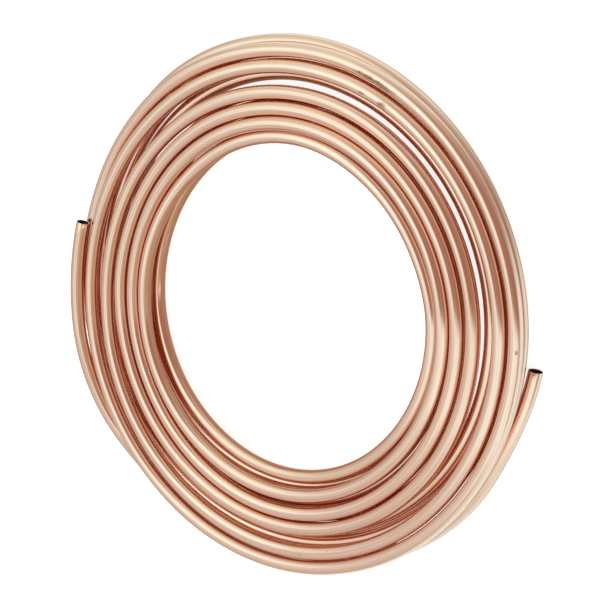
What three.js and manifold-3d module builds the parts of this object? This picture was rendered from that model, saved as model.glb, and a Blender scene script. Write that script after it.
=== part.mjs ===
// Coil of bright copper tube: one length of soft-drawn tube wound in two layers of open turns,
// lying flat, with both cut ends on the outside. Millimetres, +Z up, coil axis upright, front
// layer on top, origin on the floor under the middle of the coil.
import * as THREE from 'three';
import { mergeVertices } from 'three/addons/utils/BufferGeometryUtils.js';
import Module from 'manifold-3d';

// The tube.
const TUBE_DIAMETER = 12.7;
const WALL = 0.81;
const TUBE_SIDES = 10;
const END_BORE_DEPTH = 10;

// The winding is measured in degrees from +X, anticlockwise from above, and runs on through all
// the turns: 180 is the coil's left side on the first turn, 540 on the second, and so on.
const START_ANGLE = 165.3;
const END_ANGLE = 4673;

// Radius of the tube's centre line where each turn passes the left, the near side, the right and
// the far side of the coil. From its left end the tube winds inwards through the back layer,
// comes up inside the bore and winds outwards through the front layer.
const BACK_TURNS = [
  [242.6, 239.7, 229.1, 234.4],
  [228.6, 214.8, 215.9, 219.9],
  [214.4, 201.8, 202.8, 206.9],
  [199.7, 188.7, 184.0, 186.6],
  [184.3, 175.8, 168.0, 173.6],
  [171.2, 163.1, 155.4, 157.8],
];
const FRONT_TURNS = [
  [157.7, 152.6, 151.1, 151.9],
  [160.8, 167.9, 163.8, 163.6],
  [175.1, 184.9, 177.6, 176.7],
  [190.8, 198.5, 192.5, 190.6],
  [207.9, 220.2, 216.9, 212.8],
  [229.0, 234.5, 231.7, 227.0],
  [241.5, 232.7, 240.1, 245.0],
];
// Where a turn swells or sinks between those places: winding angle, radius.
const UNEVEN_PLACES = [
  [START_ANGLE, 240.5], [192, 245.0], [210, 247.6], [225, 244.0], [240, 242.5], [290, 235.2],
  [310, 231.2], [340, 228.4], [405, 228.2], [495, 239.2], [518, 231.3], [765, 215.4],
  [852, 222.9], [1125, 202.1], [1150, 203.9], [1190, 208.3], [1215, 207.3], [1463, 182.6],
  [2400, 153.4], [2470, 152.4], [2545, 147.8], [2575, 147.4], [2725, 163.9], [2925, 162.1],
  [3030, 170.6], [3085, 178.1], [3285, 175.3], [3375, 182.8], [3400, 186.7], [3760, 203.5],
  [3800, 213.5], [3830, 218.2], [4162, 233.4], [4195, 235.1], [4255, 232.9], [4455, 233.5],
  [4470, 236.8], [4520, 242.8], [4640, 234.3], [4655, 233.0],
];

// Height of the centre line above the front layer: winding angle, height. It keeps level between
// two equal heights and slopes evenly between two unequal ones.
const LAYER_PITCH = 13;
const BACK = -LAYER_PITCH;
const REAR = -2 * LAYER_PITCH;
const HEIGHTS = [
  [190, 5.8], [236, BACK], [480, BACK], [512, -18.5], [550, BACK], [2010, BACK], [2100, -19],
  [2270, -19], [2500, -6], [2640, -6], [2700, 0], [4435, 0], [4484, -7], [4491, -7],
  [4556, REAR],
];

// Steps of the sweep, in degrees of winding, finer over the last few at each cut end.
const STEP = 10;
const END_STEP = 2.5;

// Winding angles at which the coil touches the floor as it lies.
const RESTS_AT = [509, 4552, END_ANGLE];

const COPPER = 0xd9926f;

const wasm = await Module();
wasm.setup();

function radiusPlaces() {
  const places = [...BACK_TURNS, ...FRONT_TURNS].flat()
    .map((radius, quarter) => [180 + 90 * quarter, radius]);
  return [...places, ...UNEVEN_PLACES].sort((a, b) => a[0] - b[0]);
}

const RADII = radiusPlaces();

// Smooth curve through the places where the radius is given.
function radiusAt(angle) {
  const last = RADII.length - 2;
  const i = THREE.MathUtils.clamp(RADII.findIndex(([a]) => a > angle) - 1, 0, last);
  const slope = (j) => {
    const [before, after] = [RADII[Math.max(j - 1, 0)], RADII[Math.min(j + 1, last + 1)]];
    return (after[1] - before[1]) / (after[0] - before[0]);
  };
  const span = RADII[i + 1][0] - RADII[i][0];
  const t = (angle - RADII[i][0]) / span;
  const rest = 1 - t;
  return (1 + 2 * t) * rest * rest * RADII[i][1] + t * rest * rest * span * slope(i)
    + (3 - 2 * t) * t * t * RADII[i + 1][1] - rest * t * t * span * slope(i + 1);
}

function heightAt(angle) {
  return HEIGHTS.slice(1).reduce((height, [to, next], i) => {
    const [from, before] = HEIGHTS[i];
    return height + (next - before) * THREE.MathUtils.smoothstep(angle, from, to);
  }, HEIGHTS[0][1]);
}

function centreAt(angle, target = new THREE.Vector3()) {
  const turn = THREE.MathUtils.degToRad(angle);
  const radius = radiusAt(angle);
  return target.set(radius * Math.cos(turn), radius * Math.sin(turn), heightAt(angle));
}

// Winding angles where the tube is sectioned.
function stationAngles() {
  const firstEven = Math.ceil((START_ANGLE + END_STEP) / STEP) * STEP;
  const angles = [];
  for (let a = START_ANGLE; a < firstEven; a += END_STEP) angles.push(a);
  for (let a = firstEven; a < END_ANGLE - STEP / 2; a += STEP) angles.push(a);
  for (let a = angles.at(-1) + END_STEP; a < END_ANGLE; a += END_STEP) angles.push(a);
  return [...angles, END_ANGLE];
}

class Winding extends THREE.Curve {
  constructor(angles) {
    super();
    this.angles = angles;
  }

  getPoint(t, target) {
    const place = THREE.MathUtils.clamp(t, 0, 1) * (this.angles.length - 1);
    const i = Math.min(Math.floor(place), this.angles.length - 2);
    return centreAt(THREE.MathUtils.lerp(this.angles[i], this.angles[i + 1], place - i), target);
  }

  getUtoTmapping(u) {
    return u;
  }
}

function roundSection(radius, sides) {
  const points = [];
  for (let i = 0; i < sides; i += 1) {
    const a = (i / sides) * 2 * Math.PI;
    points.push(new THREE.Vector2(radius * Math.cos(a), radius * Math.sin(a)));
  }
  return new THREE.Shape(points);
}

function toSolid(geometry) {
  geometry.deleteAttribute('normal');
  geometry.deleteAttribute('uv');
  const merged = mergeVertices(geometry);
  const mesh = new wasm.Mesh({
    numProp: 3,
    vertProperties: new Float32Array(merged.attributes.position.array),
    triVerts: new Uint32Array(merged.index.array),
  });
  return new wasm.Manifold(mesh);
}

function toGeometry(solid) {
  const mesh = solid.getMesh();
  const geometry = new THREE.BufferGeometry();
  geometry.setAttribute('position', new THREE.BufferAttribute(mesh.vertProperties, 3));
  geometry.setIndex(new THREE.BufferAttribute(mesh.triVerts, 1));
  return geometry;
}

// The tube's open bore at a cut end, as far in as the end is straight.
function endBore(curve, u, outward) {
  const tangent = curve.getTangentAt(u).multiplyScalar(outward);
  const bore = new THREE.CylinderGeometry(
    TUBE_DIAMETER / 2 - WALL, TUBE_DIAMETER / 2 - WALL, 2 * END_BORE_DEPTH, 2 * TUBE_SIDES,
  );
  bore.applyQuaternion(new THREE.Quaternion().setFromUnitVectors(
    new THREE.Vector3(0, 1, 0), tangent,
  ));
  const end = curve.getPointAt(u);
  bore.translate(end.x, end.y, end.z);
  return toSolid(bore);
}

// Turn that brings the three places where the coil touches the floor to one level.
function layingTurn() {
  const floor = new THREE.Plane().setFromCoplanarPoints(...RESTS_AT.map((a) => centreAt(a)));
  const up = floor.normal.multiplyScalar(Math.sign(floor.normal.z));
  return new THREE.Quaternion().setFromUnitVectors(up, new THREE.Vector3(0, 0, 1));
}

function coiledTube() {
  const angles = stationAngles();
  const winding = new Winding(angles);
  const swept = new THREE.ExtrudeGeometry(roundSection(TUBE_DIAMETER / 2, TUBE_SIDES), {
    steps: angles.length - 1, extrudePath: winding, bevelEnabled: false,
  });
  const tube = toSolid(swept)
    .subtract(endBore(winding, 0, -1))
    .subtract(endBore(winding, 1, 1));
  const geometry = toGeometry(tube).applyQuaternion(layingTurn());
  geometry.computeBoundingBox();
  const { min, max } = geometry.boundingBox;
  geometry.translate(-(min.x + max.x) / 2, -(min.y + max.y) / 2, -min.z);
  return geometry;
}

const copper = new THREE.MeshStandardMaterial({
  color: COPPER, roughness: 0.25, metalness: 1, flatShading: true,
});
const tube = new THREE.Mesh(coiledTube(), copper);
tube.name = 'copper_tube';

const coil = new THREE.Group();
coil.add(tube);

export default coil;
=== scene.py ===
import math

import bmesh
import bpy
from mathutils import Matrix, Vector


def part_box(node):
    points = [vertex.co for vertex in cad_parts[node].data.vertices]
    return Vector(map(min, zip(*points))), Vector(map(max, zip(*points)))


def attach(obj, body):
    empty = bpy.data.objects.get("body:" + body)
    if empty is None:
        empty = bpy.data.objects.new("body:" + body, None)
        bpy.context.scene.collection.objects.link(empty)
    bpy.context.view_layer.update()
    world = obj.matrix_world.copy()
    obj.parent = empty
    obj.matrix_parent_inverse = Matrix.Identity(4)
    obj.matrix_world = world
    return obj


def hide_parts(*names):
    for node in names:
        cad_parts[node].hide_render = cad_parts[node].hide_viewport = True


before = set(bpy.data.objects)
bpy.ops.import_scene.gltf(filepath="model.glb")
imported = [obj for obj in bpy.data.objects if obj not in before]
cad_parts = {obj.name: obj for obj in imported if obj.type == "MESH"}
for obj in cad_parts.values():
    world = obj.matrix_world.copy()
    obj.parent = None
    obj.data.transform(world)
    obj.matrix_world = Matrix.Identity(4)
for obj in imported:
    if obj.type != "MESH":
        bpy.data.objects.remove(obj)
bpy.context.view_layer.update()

# ---------------------------------------------------------------------------------------------
# The coil: one length of soft-drawn copper tube wound by hand in two layers of open turns. The
# tube is cut square at both ends, and each end lies free on the outside of the coil.

# In millimetres, like every size below that isn't said to be in metres.
MM = 0.001
TUBE_RADIUS = 6.35
WALL = 0.81
LIP = 0.2
BORE_SHOWN = 30

# Winding angle: degrees from +X, anticlockwise from above, running on through all the turns.
START_ANGLE = 165.3
END_ANGLE = 4673

# Radius of the tube's centre line, in mm, as each turn passes the left, the near side, the right
# and the far side of the coil.
BACK_TURNS = [
    [242.6, 239.7, 229.1, 234.4],
    [228.6, 214.8, 215.9, 219.9],
    [214.4, 201.8, 202.8, 206.9],
    [199.7, 188.7, 184.0, 186.6],
    [184.3, 175.8, 168.0, 173.6],
    [171.2, 163.1, 155.4, 157.8],
]
FRONT_TURNS = [
    [157.7, 152.6, 151.1, 151.9],
    [160.8, 167.9, 163.8, 163.6],
    [175.1, 184.9, 177.6, 176.7],
    [190.8, 198.5, 192.5, 190.6],
    [207.9, 220.2, 216.9, 212.8],
    [229.0, 234.5, 231.7, 227.0],
    [241.5, 232.7, 240.1, 245.0],
]
# Where a turn swells or sinks between those places: winding angle, radius.
UNEVEN_PLACES = [
    (START_ANGLE, 240.5), (192, 245.0), (210, 247.6), (225, 244.0), (240, 242.5), (290, 235.2),
    (310, 231.2), (340, 228.4), (405, 228.2), (495, 239.2), (518, 231.3), (765, 215.4),
    (852, 222.9), (1125, 202.1), (1150, 203.9), (1190, 208.3), (1215, 207.3), (1463, 182.6),
    (2400, 153.4), (2470, 152.4), (2545, 147.8), (2575, 147.4), (2725, 163.9), (2925, 162.1),
    (3030, 170.6), (3085, 178.1), (3285, 175.3), (3375, 182.8), (3400, 186.7), (3760, 203.5),
    (3800, 213.5), (3830, 218.2), (4162, 233.4), (4195, 235.1), (4255, 232.9), (4455, 233.5),
    (4470, 236.8), (4520, 242.8), (4640, 234.3), (4655, 233.0),
]
# Height of the centre line above the front layer: winding angle, height.
HEIGHTS = [
    (190, 5.8), (236, -13), (480, -13), (512, -18.5), (550, -13), (2010, -13), (2100, -19),
    (2270, -19), (2500, -6), (2640, -6), (2700, 0), (4435, 0), (4484, -7), (4491, -7),
    (4556, -26),
]
# Winding angles at which the coil touches the floor as it lies.
RESTS_AT = (509, 4552, END_ANGLE)

quarters = [radius for turn in BACK_TURNS + FRONT_TURNS for radius in turn]
radius_places = sorted(
    [(180 + 90 * quarter, radius) for quarter, radius in enumerate(quarters)] + UNEVEN_PLACES
)


def turn_radius(angle):
    """Radius of the centre line: a smooth curve through the places where it is given."""
    last = len(radius_places) - 2
    i = last
    while i > 0 and radius_places[i][0] > angle:
        i -= 1

    def slope(j):
        before, after = radius_places[max(j - 1, 0)], radius_places[min(j + 1, last + 1)]
        return (after[1] - before[1]) / (after[0] - before[0])

    (a0, r0), (a1, r1) = radius_places[i], radius_places[i + 1]
    span = a1 - a0
    t = (angle - a0) / span
    rest = 1 - t
    return ((1 + 2 * t) * rest * rest * r0 + t * rest * rest * span * slope(i)
            + (3 - 2 * t) * t * t * r1 - rest * t * t * span * slope(i + 1))


def turn_height(angle):
    """Height of the centre line, level between equal heights and easing between unequal ones."""
    height = HEIGHTS[0][1]
    for (a0, h0), (a1, h1) in zip(HEIGHTS, HEIGHTS[1:]):
        t = min(max((angle - a0) / (a1 - a0), 0), 1)
        height += (h1 - h0) * t * t * (3 - 2 * t)
    return height


def tube_centre(angle):
    turn = math.radians(angle)
    radius = turn_radius(angle)
    return Vector((radius * math.cos(turn), radius * math.sin(turn), turn_height(angle)))


# The stations are the places along the tube where it has a ring of vertices: up the bore from
# inside, over the rounded lip of the cut, and along the outside. Each is a winding angle, how far
# the ring stands beyond that place along the tube, and the ring's radius.
STEP = 2
first_even = math.ceil(START_ANGLE / STEP) * STEP + STEP
last_even = math.floor(END_ANGLE / STEP) * STEP - STEP
bore = TUBE_RADIUS - WALL
lip_rings = [
    (-BORE_SHOWN, bore), (-20, bore), (-10, bore), (-3, bore), (-LIP, bore),
    (-0.3 * LIP, bore + 0.3 * LIP), (0, bore + LIP), (0, TUBE_RADIUS - LIP),
    (-0.3 * LIP, TUBE_RADIUS - 0.3 * LIP), (-LIP, TUBE_RADIUS),
]
BORE_RINGS = 5  # how many of them lie in the bore
stations = [(START_ANGLE, -reach, radius) for reach, radius in lip_rings]
stations += [(angle, 0, TUBE_RADIUS) for angle in range(first_even, last_even + STEP, STEP)]
stations += [(END_ANGLE, reach, radius) for reach, radius in reversed(lip_rings)]

SIDES = 32
tube_mesh = bmesh.new()
bmesh.ops.create_grid(
    tube_mesh, x_segments=len(stations) - 1, y_segments=SIDES, size=1, calc_uvs=False,
)
skin_uv = tube_mesh.loops.layers.uv.new("drawn")
COPPER_SLOT, OXIDE_SLOT = 0, 1
for face in tube_mesh.faces:
    ring = (face.calc_center_median().x + 1) / 2 * (len(stations) - 1)
    in_bore = min(ring, len(stations) - 1 - ring) < BORE_RINGS
    face.material_index = OXIDE_SLOT if in_bore else COPPER_SLOT

# The turn that brings the three places where the coil rests to one level.
rests = [tube_centre(angle) for angle in RESTS_AT]
upright = (rests[1] - rests[0]).cross(rests[2] - rests[0]).normalized()
if upright.z < 0:
    upright.negate()
laying_turn = upright.rotation_difference(Vector((0, 0, 1)))

# Each ring's centre, its two directions across the tube, its radius, and its length along the tube.
rings = []
length = 0
before = tube_centre(START_ANGLE)
for angle, reach, radius in stations:
    place = tube_centre(angle)
    length += (place - before).length
    before = place
    along = (tube_centre(angle + 0.5) - tube_centre(angle - 0.5)).normalized()
    outward = Vector((place.x, place.y, 0)).normalized()
    outward = (outward - outward.dot(along) * along).normalized()
    upward = outward.cross(along)
    bend = math.degrees(reach / place.length)
    rings.append((tube_centre(angle + bend), outward, upward, radius, length + reach))

for vertex in tube_mesh.verts:
    ring = round((vertex.co.x + 1) / 2 * (len(stations) - 1))
    side = round((vertex.co.y + 1) / 2 * SIDES)
    centre, outward, upward, radius, length = rings[ring]
    around = side / SIDES * 2 * math.pi
    for loop in vertex.link_loops:
        loop[skin_uv].uv = (length * MM, side / SIDES)
    place = centre + radius * (math.cos(around) * outward + math.sin(around) * upward)
    vertex.co = (laying_turn @ place) * MM

bmesh.ops.remove_doubles(tube_mesh, verts=tube_mesh.verts, dist=1e-6)
for face in bmesh.ops.holes_fill(tube_mesh, edges=tube_mesh.edges, sides=SIDES)["faces"]:
    face.material_index = OXIDE_SLOT
bmesh.ops.recalc_face_normals(tube_mesh, faces=tube_mesh.faces)
for face in tube_mesh.faces:
    face.smooth = True

cad_low, cad_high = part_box("copper_tube")
corners = [[f(v.co[axis] for v in tube_mesh.verts) for axis in range(3)] for f in (min, max)]
low, high = (Vector(corner) for corner in corners)
move = (Vector(cad_low) + Vector(cad_high) - low - high) / 2
bmesh.ops.translate(tube_mesh, verts=tube_mesh.verts, vec=move)

coil_data = bpy.data.meshes.new("drawn_tube")
tube_mesh.to_mesh(coil_data)
tube_mesh.free()
coil = bpy.data.objects.new("drawn_tube", coil_data)
bpy.context.collection.objects.link(coil)

copper = bpy.data.materials.new("bright drawn copper")
copper.use_nodes = True
nodes, links = copper.node_tree.nodes, copper.node_tree.links
surface = nodes["Principled BSDF"]
surface.inputs["Metallic"].default_value = 1


def fill(sockets, values):
    """Set each socket to its value, or link to it where the value comes from a node."""
    for socket, value in zip(sockets, values):
        if isinstance(value, bpy.types.NodeSocket):
            links.new(value, socket)
        else:
            socket.default_value = value


def maths(operation, *values):
    node = nodes.new("ShaderNodeMath")
    node.operation = operation
    fill(node.inputs, values)
    return node.outputs[0]


def fade(value, start, end, low=0, high=1):
    """low before the start, high past the end, and smooth between them."""
    step = nodes.new("ShaderNodeMapRange")
    step.interpolation_type = "SMOOTHSTEP"
    fill(step.inputs, (value, start, end, low, high))
    return step.outputs["Result"]


def tinted(factor, low, high):
    """One colour at a factor of 0 and the other at 1."""
    mix = nodes.new("ShaderNodeMixRGB")
    fill(mix.inputs, (factor, low, high))
    return mix.outputs[0]


# A place on the tube's skin: metres along it, and out from its axis to a place round it, so that
# a pattern closes on itself where the map's two edges meet.
skin_map = nodes.new("ShaderNodeUVMap")
skin_map.uv_map = "drawn"
skin = nodes.new("ShaderNodeSeparateXYZ")
links.new(skin_map.outputs["UV"], skin.inputs["Vector"])
along_tube, round_tube, _ = skin.outputs
turned = maths("MULTIPLY", round_tube, 2 * math.pi)
skin_place = nodes.new("ShaderNodeCombineXYZ")
fill(skin_place.inputs, (
    along_tube,
    maths("MULTIPLY", maths("COSINE", turned), TUBE_RADIUS * MM),
    maths("MULTIPLY", maths("SINE", turned), TUBE_RADIUS * MM),
))


def grain(along, across, detail=3):
    """Noise with so many grains to the metre along the tube and across it."""
    stretch = nodes.new("ShaderNodeMapping")
    stretch.inputs["Scale"].default_value = (along, across, across)
    links.new(skin_place.outputs["Vector"], stretch.inputs["Vector"])
    noise = nodes.new("ShaderNodeTexNoise")
    noise.inputs["Scale"].default_value = 1
    noise.inputs["Detail"].default_value = detail
    links.new(stretch.outputs["Vector"], noise.inputs["Vector"])
    return noise.outputs["Fac"]


# Fine lines left by the drawing die, broader bands of polish, and faint clouding from handling.
die_lines = grain(7, 1500, 2)
bands = grain(1.6, 420)
clouds = grain(14, 110)
chatter = grain(420, 90, 1)
blotches = grain(320, 700, 2)

RED_BAND = (0.84, 0.525, 0.415, 1)
PALE_BAND = (0.90, 0.62, 0.505, 1)
CLOUDED = (0.78, 0.49, 0.36, 1)
SCORED = (0.76, 0.44, 0.33, 1)
tone = tinted(fade(bands, 0.35, 0.65), RED_BAND, PALE_BAND)
tone = tinted(fade(clouds, 0.5, 0.75, 0, 0.35), tone, CLOUDED)
tone = tinted(fade(die_lines, 0.5, 0.72, 0, 0.3), tone, SCORED)

# Roughness: from band to band, with a little more on the die lines and the clouding.
polish = maths("ADD", fade(bands, 0.3, 0.7, 0.08, 0.15), fade(die_lines, 0.4, 0.7, 0, 0.06))
polish = maths("ADD", polish, fade(clouds, 0.5, 0.75, 0, 0.06))

# Where the tube was handled or knocked: winding angle, place round the tube (0 outward, 0.25 up,
# 0.5 inward), half its length and half its width, and how dark it is.
HANDLED = [
    (4385, 0.305, 15, 2, 1), (4380.5, 0.325, 15, 2.6, 0.8), (4020, 0.285, 5, 2.5, 0.9),
    (4025.2, 0.29, 4, 1.3, 0.8),
]
KNOCKED = [
    (4316.9, 0.157, 1.7, 1.3, 0.8), (3875.6, 0.23, 2.2, 0.5, 0.7), (3883.2, 0.339, 0.7, 0.7, 0.8),
]
SMUDGED = (0.34, 0.18, 0.11, 1)
SMUDGE_ROUGHNESS = 0.2
BRUISED = (0.25, 0.12, 0.08, 1)


def metres_along(angle):
    return next(ring[4] for station, ring in zip(stations, rings) if station[0] >= angle) * MM


def mark(angle, side, half_length, half_width, depth):
    """How strongly the skin is marked here, ragged at the mark's edge."""
    run = maths("DIVIDE", maths("SUBTRACT", along_tube, metres_along(angle)), half_length * MM)
    turn = half_width / (2 * math.pi * TUBE_RADIUS)
    spread = maths("DIVIDE", maths("SUBTRACT", round_tube, side), turn)
    distance = maths("ADD", maths("POWER", run, 2), maths("POWER", spread, 2))
    return fade(maths("ADD", distance, maths("MULTIPLY", blotches, 3)), 1.4, 3, depth, 0)


for place in HANDLED:
    smudge = mark(*place)
    tone = tinted(smudge, tone, SMUDGED)
    polish = maths("ADD", polish, maths("MULTIPLY", smudge, SMUDGE_ROUGHNESS))
dents = 0
for place in KNOCKED:
    dent = mark(*place)
    tone = tinted(dent, tone, BRUISED)
    dents = maths("ADD", dents, dent)
links.new(tone, surface.inputs["Base Color"])
links.new(polish, surface.inputs["Roughness"])

relief = maths("ADD", maths("MULTIPLY", die_lines, 0.6), maths("MULTIPLY", bands, 0.8))
relief = maths("ADD", relief, maths("MULTIPLY", chatter, 0.15))
relief = maths("SUBTRACT", relief, maths("MULTIPLY", dents, 3))
bump = nodes.new("ShaderNodeBump")
bump.inputs["Strength"].default_value = 0.5
bump.inputs["Distance"].default_value = 0.12 * MM
links.new(relief, bump.inputs["Height"])
links.new(bump.outputs["Normal"], surface.inputs["Normal"])
coil_data.materials.append(copper)

# The bore keeps the dull oxide skin that annealing leaves.
oxide = bpy.data.materials.new("dull oxide")
oxide.use_nodes = True
nodes, links = oxide.node_tree.nodes, oxide.node_tree.links
surface = nodes["Principled BSDF"]
surface.inputs["Roughness"].default_value = 0.6
bore_place = nodes.new("ShaderNodeTexCoord")
scale_noise = nodes.new("ShaderNodeTexNoise")
scale_noise.inputs["Scale"].default_value = 900
links.new(bore_place.outputs["Object"], scale_noise.inputs["Vector"])
oxide_tone = tinted(scale_noise.outputs["Fac"], (0.012, 0.006, 0.005, 1), (0.05, 0.022, 0.014, 1))
links.new(oxide_tone, surface.inputs["Base Color"])
coil_data.materials.append(oxide)

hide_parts("copper_tube")
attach(coil, "root")

# ---------------------------------------------------------------------------------------------
# The studio floor: white paper. In the copper its glow is a painted reflection: the coil's own
# shadow painted under the turns, and painted shade falling off to a warm grey at the left and to
# brown in the far right corner.

FLOOR_REACH = 6
floor_mesh = bmesh.new()
bmesh.ops.create_grid(floor_mesh, x_segments=1, y_segments=1, size=FLOOR_REACH)
floor_data = bpy.data.meshes.new("floor")
floor_mesh.to_mesh(floor_data)
floor_mesh.free()
floor = bpy.data.objects.new("floor", floor_data)
bpy.context.collection.objects.link(floor)
paper = bpy.data.materials.new("white paper")
paper.use_nodes = True
nodes, links = paper.node_tree.nodes, paper.node_tree.links
surface = nodes["Principled BSDF"]
surface.inputs["Roughness"].default_value = 1

# Places on the floor in metres, from the middle of the coil.
floor_place = nodes.new("ShaderNodeTexCoord")
floor_axes = nodes.new("ShaderNodeSeparateXYZ")
links.new(floor_place.outputs["Object"], floor_axes.inputs["Vector"])
floor_x, floor_y, _ = floor_axes.outputs
from_middle = nodes.new("ShaderNodeVectorMath")
from_middle.operation = "LENGTH"
links.new(floor_place.outputs["Object"], from_middle.inputs[0])
reach = from_middle.outputs["Value"]
# Masks for the painted reflection: painted brown in the far right corner, and the coil's painted
# shadow in a ring under the turns.
far_corner = maths("MULTIPLY", fade(floor_x, 0.14, 0.26), fade(floor_y, 0.03, 0.16))
under_coil = maths("SUBTRACT", fade(reach, 0.135, 0.155), fade(reach, 0.235, 0.255))

LEFT_GREY = (0.31, 0.28, 0.26, 1)
RIGHT_WHITE = (0.66, 0.88, 0.88, 1)
PAINTED_CORNER_BROWN = (0.2, 0.12, 0.08, 1)
PAINTED_COIL_SHADOW = (0.18, 0.12, 0.09, 1)
PAPER_WHITE = (0.8, 0.8, 0.8, 1)
PAPER_IN_COPPER = (0.35, 0.35, 0.35, 1)
# What the copper sees of the paper is a painted glow, not lit: grey at the left, white at the
# right, painted brown in the far corner and the coil's painted shadow under the turns.
in_copper = tinted(fade(floor_x, -0.2, -0.02), LEFT_GREY, RIGHT_WHITE)
in_copper = tinted(far_corner, in_copper, PAINTED_CORNER_BROWN)
in_copper = tinted(under_coil, in_copper, PAINTED_COIL_SHADOW)

rays = nodes.new("ShaderNodeLightPath")
in_view, in_gloss = rays.outputs["Is Camera Ray"], rays.outputs["Is Glossy Ray"]
# In the copper the paper also takes a darker grey, painted shade that only the metal sees.
links.new(tinted(in_gloss, PAPER_WHITE, PAPER_IN_COPPER), surface.inputs["Base Color"])
glow = nodes.new("ShaderNodeEmission")
links.new(tinted(in_view, in_copper, PAPER_WHITE), glow.inputs["Color"])
links.new(maths("MAXIMUM", in_view, in_gloss), glow.inputs["Strength"])
both = nodes.new("ShaderNodeAddShader")
fill(both.inputs, (surface.outputs[0], glow.outputs[0]))
links.new(both.outputs[0], nodes["Material Output"].inputs["Surface"])
floor_data.materials.append(paper)

# The room is white beyond the edge of the paper.
world = bpy.data.worlds.new("studio")
bpy.context.scene.world = world
world.use_nodes = True
world.node_tree.nodes["Background"].inputs["Color"].default_value = (1, 1, 1, 1)

# ---------------------------------------------------------------------------------------------
# The camera stands above the coil's right side and looks down on its front layer. Its distance
# from the middle of that layer, and how far it is moved sideways and up, are in millimetres.

camera_way = Vector((0.5758, 0.1759, 0.7984)).normalized()
CAMERA_DISTANCE = 1397
CAMERA_ASIDE = 15.6
CAMERA_ABOVE = 8.6
sideways = Vector((0, 1, 0)).cross(camera_way).normalized()
upwards = camera_way.cross(sideways)
camera_place = CAMERA_DISTANCE * camera_way + CAMERA_ASIDE * sideways + CAMERA_ABOVE * upwards
camera_turn = laying_turn @ Matrix((sideways, upwards, camera_way)).transposed().to_quaternion()

camera_data = bpy.data.cameras.new("camera")
camera_data.sensor_width = 36
camera_data.lens = 95
camera = bpy.data.objects.new("camera", camera_data)
camera.location = (laying_turn @ camera_place) * MM + move
camera.rotation_euler = camera_turn.to_euler()
bpy.context.collection.objects.link(camera)
bpy.context.scene.camera = camera
bpy.context.scene.view_settings.view_transform = "Standard"

# Light goes on from tube to tube many times in the grooves between polished turns.
GROOVE_BOUNCES = 16
bpy.context.scene.cycles.glossy_bounces = GROOVE_BOUNCES
bpy.context.scene.cycles.max_bounces = GROOVE_BOUNCES

# ---------------------------------------------------------------------------------------------
# The tent: a soft white dome round the coil, which the camera sees through. One large lamp lights
# its left wall, and the darker room shows through its open side.

TENT_RADIUS = 0.9
tent_mesh = bmesh.new()
bmesh.ops.create_uvsphere(tent_mesh, u_segments=48, v_segments=24, radius=TENT_RADIUS)
bmesh.ops.reverse_faces(tent_mesh, faces=tent_mesh.faces)
tent_data = bpy.data.meshes.new("tent")
tent_mesh.to_mesh(tent_data)
tent_mesh.free()
tent = bpy.data.objects.new("tent", tent_data)
bpy.context.collection.objects.link(tent)
cloth = bpy.data.materials.new("lit tent cloth")
cloth.use_nodes = True
nodes, links = cloth.node_tree.nodes, cloth.node_tree.links
nodes.remove(nodes["Principled BSDF"])

# A place in the tent, as seen from the coil, is told by how many degrees it lies to the right of
# the open side's middle and above it. The tent opens in the direction of the camera's first place.
tent_place = nodes.new("ShaderNodeTexCoord")
tent_way = nodes.new("ShaderNodeVectorMath")
tent_way.operation = "NORMALIZE"
links.new(tent_place.outputs["Object"], tent_way.inputs[0])


def towards(direction):
    """How far a place lies this way, 1 straight ahead and 0 square to it."""
    dot = nodes.new("ShaderNodeVectorMath")
    dot.operation = "DOT_PRODUCT"
    links.new(tent_way.outputs["Vector"], dot.inputs[0])
    dot.inputs[1].default_value = laying_turn @ direction
    return dot.outputs["Value"]


ahead = towards(camera_way)
spread = maths("SQRT", maths("SUBTRACT", 1.0001, maths("POWER", ahead, 2)))
degrees = maths("MULTIPLY", maths("DIVIDE", maths("ARCCOSINE", ahead), spread), math.degrees(1))
aside = maths("MULTIPLY", towards(sideways), degrees)
above = maths("MULTIPLY", towards(upwards), degrees)

# A window in the tent is given by where each of its edges begins and ends: left, right, low and
# high. An edge in NONE_BEFORE or NONE_AFTER leaves the window open on that side.
NONE_BEFORE = (-300, -299)
NONE_AFTER = (299, 300)


def window(left, right, low, high):
    """1 inside a window of the tent and 0 outside it."""
    across = maths("SUBTRACT", fade(aside, *left), fade(aside, *right))
    upright = maths("SUBTRACT", fade(above, *low), fade(above, *high))
    return maths("MULTIPLY", across, upright)


# The windows where the tent is lit more or less than round about, and by what share.
SHADES = [
    (NONE_BEFORE, (-95, -35), (30, 100), NONE_AFTER, -0.6),
    ((24, 42), (66, 84), (-56, -38), (-18, -6), -0.5),
    ((-52, -25), (30, 56), (-60, -40), (-18, -8), 0.58),
    ((-5, 25), NONE_AFTER, NONE_BEFORE, (-56, -36), 0.28),
    (NONE_BEFORE, (-20, 10), NONE_BEFORE, (-90, -50), -0.2),
]
# The windows that have a level of their own: the lamp, and the open side with the room behind it.
LAMP = ((-90, -62), (-40, -20), (-28, -4), (24, 62), 1.52)
OPEN_SIDE = ((-36, -16), (40, 60), (-19, -11), (14, 84), 0.27)

level = fade(aside, 10, 100, 0.84, 1.05)
level = maths("MULTIPLY", level, fade(aside, -105, -60, 0.8, 1))
level = maths("MULTIPLY", level, fade(above, 15, 70, 1, 1.15))
for *edges, share in SHADES:
    level = maths("MULTIPLY", level, maths("MULTIPLY_ADD", window(*edges), share, 1))
for *edges, own_level in (LAMP, OPEN_SIDE):
    inside = window(*edges)
    rest = maths("MULTIPLY", level, maths("SUBTRACT", 1, inside))
    level = maths("MULTIPLY_ADD", inside, own_level, rest)

# The brighter a place in the tent, the cooler its white; its shade is a warm brown.
light = nodes.new("ShaderNodeCombineXYZ")
red = maths("MULTIPLY_ADD", level, 0.61, 0.27)
blue = maths("MULTIPLY", maths("MULTIPLY_ADD", level, 1.03, -0.07), fade(above, 15, 70, 1, 0.88))
fill(light.inputs, (red, level, blue))

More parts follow.
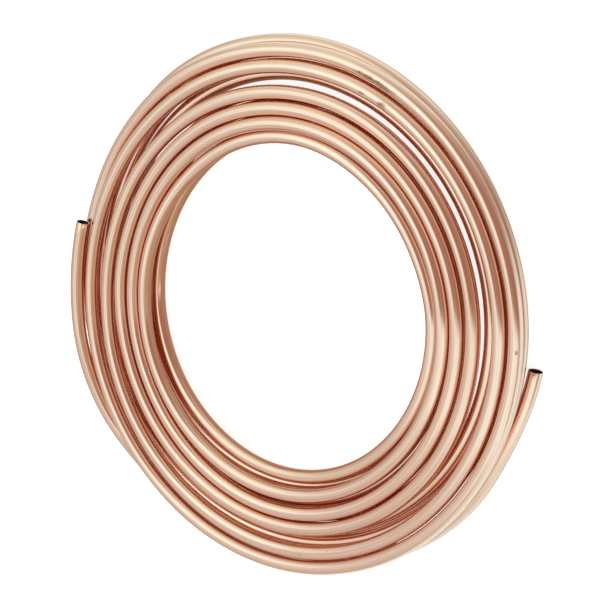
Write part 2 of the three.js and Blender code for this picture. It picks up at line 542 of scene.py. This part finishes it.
glow = nodes.new("ShaderNodeEmission")
links.new(light.outputs["Vector"], glow.inputs["Color"])
clear = nodes.new("ShaderNodeBsdfTransparent")
rays = nodes.new("ShaderNodeLightPath")
either = nodes.new("ShaderNodeMixShader")
fill(either.inputs, (rays.outputs["Is Camera Ray"], glow.outputs[0], clear.outputs[0]))
links.new(either.outputs[0], nodes["Material Output"].inputs["Surface"])
tent_data.materials.append(cloth)

# ---------------------------------------------------------------------------------------------
# Two brown boards shade the coil's left side from the tent and glow there with a painted brown
# reflection: a square one hangs over the coil and a round one lies in its opening. Only the copper
# sees them, and only their fronts.

# Each board's middle, the way its front faces and its size, in metres, and its corners.
BOARDS = {
    "hanging_board": (Vector((0.05, -0.39, 0.4)), Vector((-1, 0, 0)), (0.72, 0.7), 4),
    "lying_board": (Vector((0, 0, 0.001)), Vector((0, 0, 1)), (0.3, 0.3), 48),
}
# The boards glow with painted light, and no lamp lights them: a darker brown low down, painted
# lighter towards the top.
LOW_BROWN = (0.5, 0.36, 0.25, 1)
HIGH_BROWN = (0.68, 0.62, 0.48, 1)
board = bpy.data.materials.new("brown board")
board.use_nodes = True
nodes, links = board.node_tree.nodes, board.node_tree.links
nodes.remove(nodes["Principled BSDF"])
board_place = nodes.new("ShaderNodeTexCoord")
board_axes = nodes.new("ShaderNodeSeparateXYZ")
links.new(board_place.outputs["Object"], board_axes.inputs["Vector"])
height = nodes.new("ShaderNodeMapRange")
fill(height.inputs, (board_axes.outputs["Z"], 0.05, 0.4))
glow = nodes.new("ShaderNodeEmission")
links.new(tinted(height.outputs["Result"], LOW_BROWN, HIGH_BROWN), glow.inputs["Color"])
clear = nodes.new("ShaderNodeBsdfTransparent")
rays = nodes.new("ShaderNodeLightPath")
side = nodes.new("ShaderNodeNewGeometry")
front_in_copper = maths("GREATER_THAN", rays.outputs["Is Glossy Ray"], side.outputs["Backfacing"])
either = nodes.new("ShaderNodeMixShader")
fill(either.inputs, (front_in_copper, clear.outputs[0], glow.outputs[0]))
links.new(either.outputs[0], nodes["Material Output"].inputs["Surface"])

for name, (middle, facing, size, corners) in BOARDS.items():
    half_corner = math.pi / corners
    board_mesh = bmesh.new()
    bmesh.ops.create_circle(
        board_mesh, cap_ends=True, segments=corners, radius=0.5 / math.cos(half_corner),
        matrix=Matrix.Rotation(half_corner, 4, "Z"),
    )
    bmesh.ops.scale(board_mesh, vec=(*size, 1), verts=board_mesh.verts)
    board_turn = facing.to_track_quat("Z", "Y").to_matrix()
    bmesh.ops.rotate(board_mesh, matrix=board_turn, verts=board_mesh.verts)
    bmesh.ops.translate(board_mesh, vec=middle, verts=board_mesh.verts)
    board_data = bpy.data.meshes.new(name)
    board_mesh.to_mesh(board_data)
    board_mesh.free()
    board_data.materials.append(board)
    board_object = bpy.data.objects.new(name, board_data)
    bpy.context.collection.objects.link(board_object)
